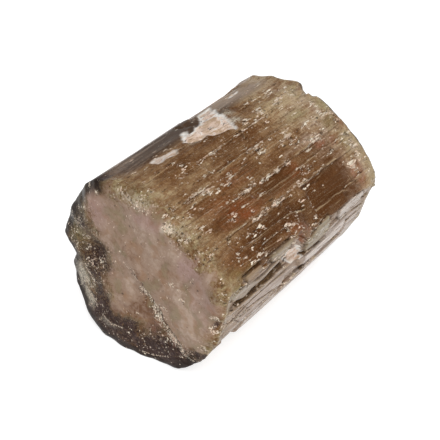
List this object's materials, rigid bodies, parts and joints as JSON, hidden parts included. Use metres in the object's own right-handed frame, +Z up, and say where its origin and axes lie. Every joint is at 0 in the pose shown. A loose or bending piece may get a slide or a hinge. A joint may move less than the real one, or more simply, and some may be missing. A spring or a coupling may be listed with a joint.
{
  "type": "dravite tourmaline crystal",
  "caption": "Stubby striated prism of brown tourmaline that lies on one long face, with a flat cleaved end and a rounded broken end.",
  "frame": {"origin": "on the surface it lies on, under the middle of the crystal's bounding box", "axes": "+X along the crystal's long axis, from the flat cleaved end towards the broken end; +Z up"},
  "size_m": [0.0322, 0.0258, 0.0245],
  "materials": {
    "dravite": "glassy, striated and chipped brown crystal with a paler cleaved end"
  },
  "bodies": {
    "root": {"crystal": "dravite"}
  },
  "joints": []
}
